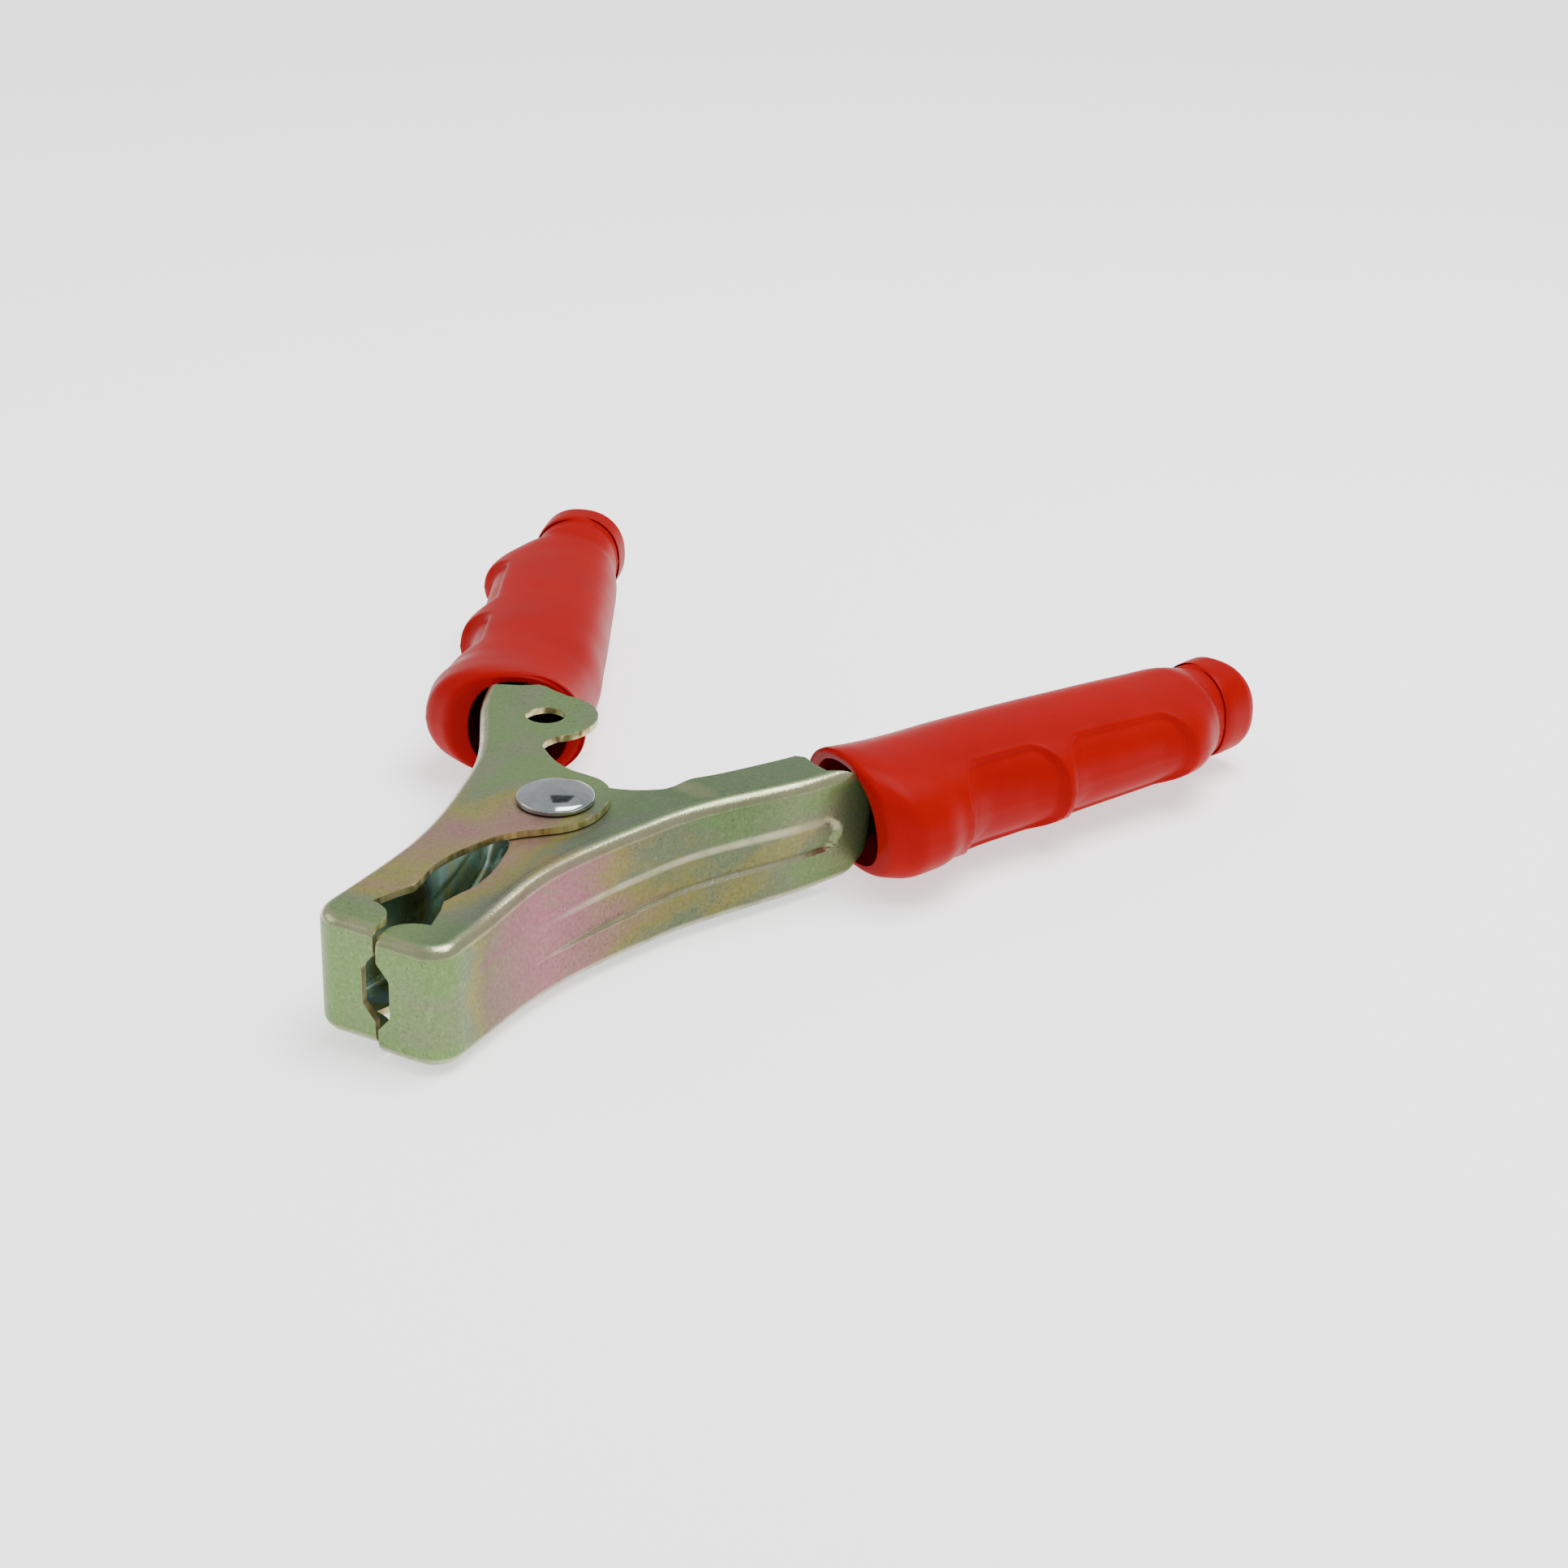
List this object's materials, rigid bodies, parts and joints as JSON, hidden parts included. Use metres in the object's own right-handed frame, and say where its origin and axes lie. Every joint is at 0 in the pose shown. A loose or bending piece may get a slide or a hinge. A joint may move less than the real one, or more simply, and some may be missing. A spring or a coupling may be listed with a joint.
{
  "type": "ground clamp",
  "caption": "Spring-loaded welding ground clamp: two pressed steel channel jaws on one rivet, terminal tab with a bolt hole, soft grips on both handles.",
  "frame": {"origin": "middle of the whole clamp's plan box, on the surface that it lies on", "axes": "+Z along the rivet axis, up; +Y towards the handle ends; the jaws point to -Y; the half with the terminal tab is at -X"},
  "size_m": [0.1998, 0.2255, 0.0331],
  "materials": {
    "plated_steel": "yellow-passivated zinc over pressed steel, olive with pink and green interference colours",
    "bright_zinc": "bright zinc plating, smooth domed head",
    "spring_wire": "oiled dark spring wire",
    "grip_pvc": "soft red dipped PVC, satin with a fine skin"
  },
  "bodies": {
    "inner_half": {"inner_jaw_half": "plated_steel", "pivot_rivet": "bright_zinc", "torsion_spring": "spring_wire", "inner_half_grip": "grip_pvc"},
    "outer_half": {"outer_jaw_half": "plated_steel", "outer_half_grip": "grip_pvc"}
  },
  "joints": [
    {"name": "jaw_hinge", "type": "hinge", "parent": "inner_half", "child": "outer_half", "pos_m": [0, -0.0472, 0.016], "axis": [0, 0, -1], "range_deg": [0, 48], "stiffness_Nm_per_rad": 1.6, "springref_deg": -40.11, "deforming": ["torsion_spring"]}
  ]
}
